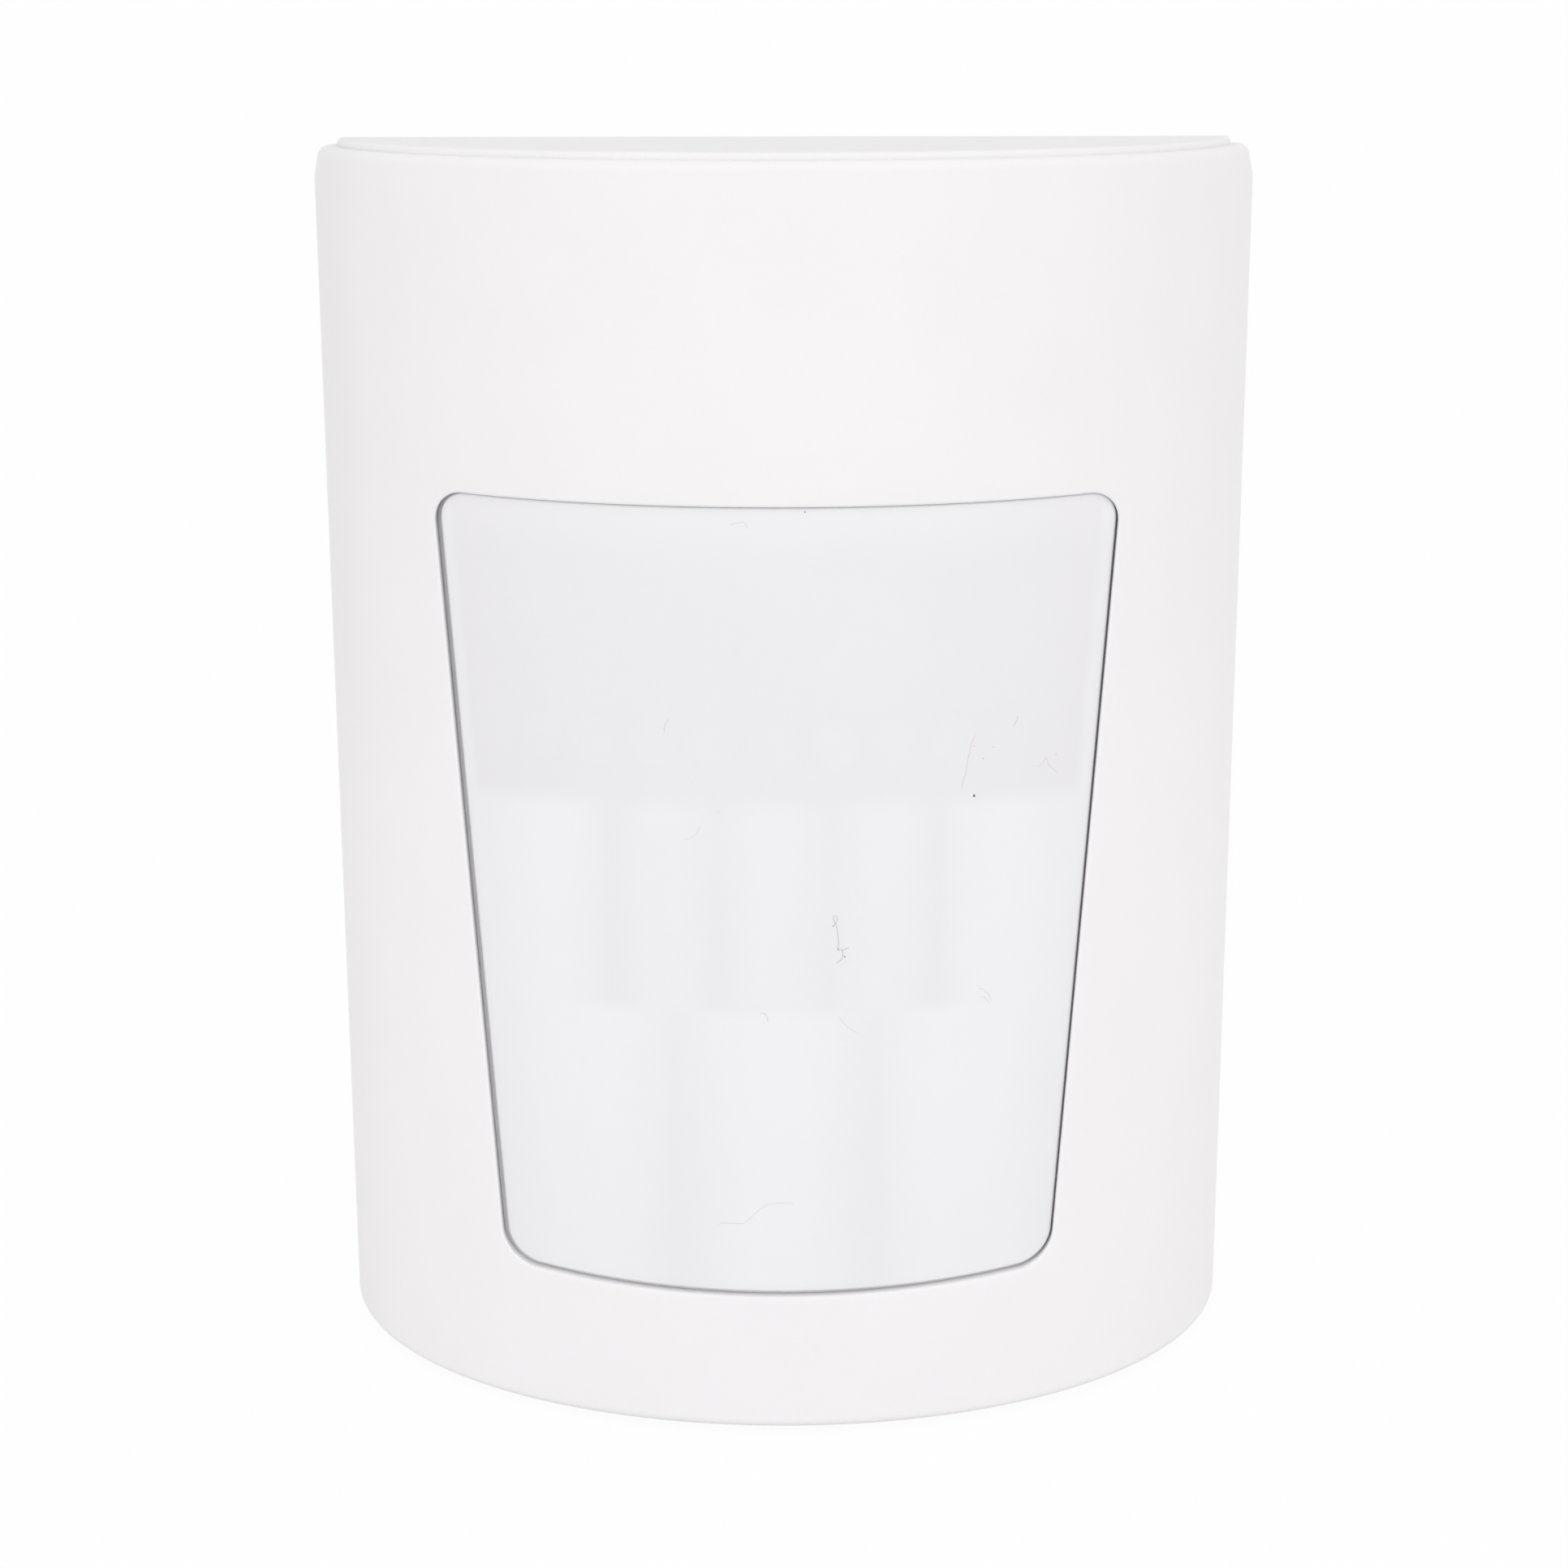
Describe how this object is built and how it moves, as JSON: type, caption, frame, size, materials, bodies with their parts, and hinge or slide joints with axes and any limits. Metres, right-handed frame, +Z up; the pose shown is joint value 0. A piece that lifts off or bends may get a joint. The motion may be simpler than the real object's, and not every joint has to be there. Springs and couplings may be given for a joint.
{
  "type": "pir motion detector",
  "caption": "Wall-mounted passive infrared motion detector: half-drum housing tapering downwards, with a tall milky faceted lens window, circuit board and terminals inside.",
  "frame": {"origin": "on the flat back face, midway between the two wall screw holes", "axes": "+Z up, +Y into the wall, the lens looks towards -Y"},
  "size_m": [0.07, 0.0332, 0.0898],
  "materials": {
    "white_housing": "fine-grained moulded ABS",
    "milky_lens": "thin milky polyethylene, smooth outside, facets inside",
    "zinc_steel": "zinc-plated steel screws",
    "green_board": "green solder resist on glass-epoxy laminate",
    "nickel_can": "nickel-plated steel can",
    "dark_filter": "coated silicon, mirror-like",
    "tinned_leads": "tinned copper",
    "soft_seal": "soft black rubber",
    "black_package": "black moulded epoxy or nylon",
    "relay_shell": "sealed off-white relay shell",
    "terminal_plastic": "green nylon",
    "brass_clamps": "nickel-free brass cages",
    "button_plastic": "red nylon button",
    "capacitor_sleeve": "shrunk dark sleeve with a bare end",
    "lamp_lens": "tinted clear epoxy",
    "gold_pins": "gold-flashed square pins",
    "resistor_chip": "black-coated chips with tinned ends",
    "ceramic_chip": "tan ceramic chips with tinned ends"
  },
  "bodies": {
    "detector": {"front_cover": "white_housing", "rear_case": "white_housing", "fresnel_lens": "milky_lens", "lens_retainer": "white_housing", "cover_screw": "zinc_steel", "circuit_board": "green_board", "board_screws": "zinc_steel", "sensor_can": "nickel_can", "sensor_filter": "dark_filter", "sensor_pins": "tinned_leads", "sensor_seal": "soft_seal", "microcontroller": "black_package", "microcontroller_leads": "tinned_leads", "amplifier": "black_package", "amplifier_leads": "tinned_leads", "voltage_regulator": "black_package", "relay_case": "relay_shell", "relay_pins": "tinned_leads", "terminal_block": "terminal_plastic", "terminal_clamps": "brass_clamps", "terminal_screws": "zinc_steel", "terminal_pins": "tinned_leads", "tamper_switch": "black_package", "tamper_pins": "tinned_leads", "large_capacitor": "capacitor_sleeve", "small_capacitor": "capacitor_sleeve", "capacitor_leads": "tinned_leads", "indicator_lamp": "lamp_lens", "lamp_leads": "tinned_leads", "jumper_base": "black_package", "jumper_pins": "gold_pins", "jumper_cap": "black_package", "chip_resistors": "resistor_chip", "chip_capacitors": "ceramic_chip", "diodes": "black_package"},
    "tamper_plunger": {"tamper_button": "button_plastic"}
  },
  "joints": [
    {"name": "tamper_press", "type": "slide", "parent": "detector", "child": "tamper_plunger", "axis": [0, 1, 0], "range_m": [0, 0.0004], "stiffness_N_per_m": 400, "springref_m": -0.0011}
  ]
}
